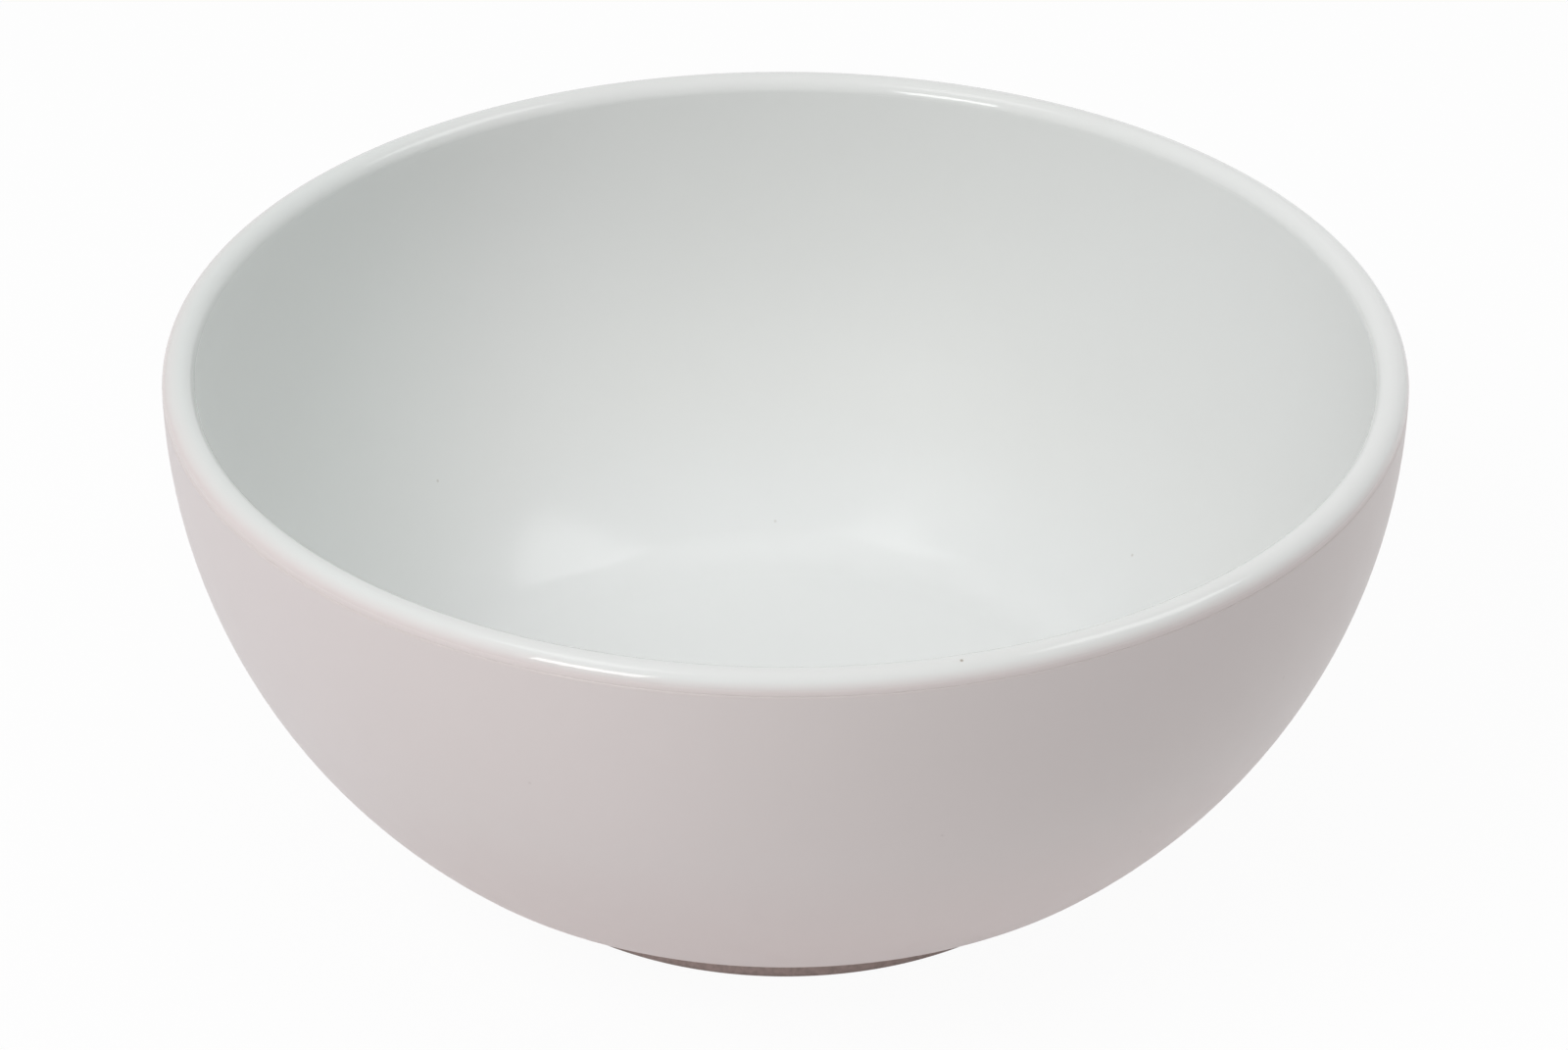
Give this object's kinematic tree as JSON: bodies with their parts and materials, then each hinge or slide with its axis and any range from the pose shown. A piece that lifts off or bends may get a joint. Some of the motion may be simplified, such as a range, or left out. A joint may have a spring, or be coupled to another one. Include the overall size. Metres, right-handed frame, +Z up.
{
  "type": "latte bowl",
  "caption": "Round handleless bowl for milk coffee, with a curved wall, a full round lip, a flat floor and a low foot ring, glazed inside and out with a bare seat.",
  "frame": {"origin": "centre of the foot ring's seat, on the surface that the bowl stands on", "axes": "+Z up, along the bowl's axis of turning; the bowl is the same all the way round, so +X and +Y are free"},
  "size_m": [0.14, 0.14, 0.061],
  "materials": {
    "porcelain_clay": "fired porcelain clay, dense and matt, covered by glaze",
    "bare_clay": "bare fired clay, matt and finely grained, smoothed by sponging",
    "inner_glaze": "glossy cool white glaze, even, with a few pinpricks",
    "outer_glaze": "soft gloss warm white glaze with a slight pink cast",
    "base_glaze": "soft gloss warm white glaze, a little thicker in the corner at the foot ring"
  },
  "bodies": {
    "root": {"porcelain_body": "porcelain_clay", "foot_ring": "bare_clay", "inner_glaze": "inner_glaze", "outer_glaze": "outer_glaze", "base_glaze": "base_glaze"}
  },
  "joints": []
}
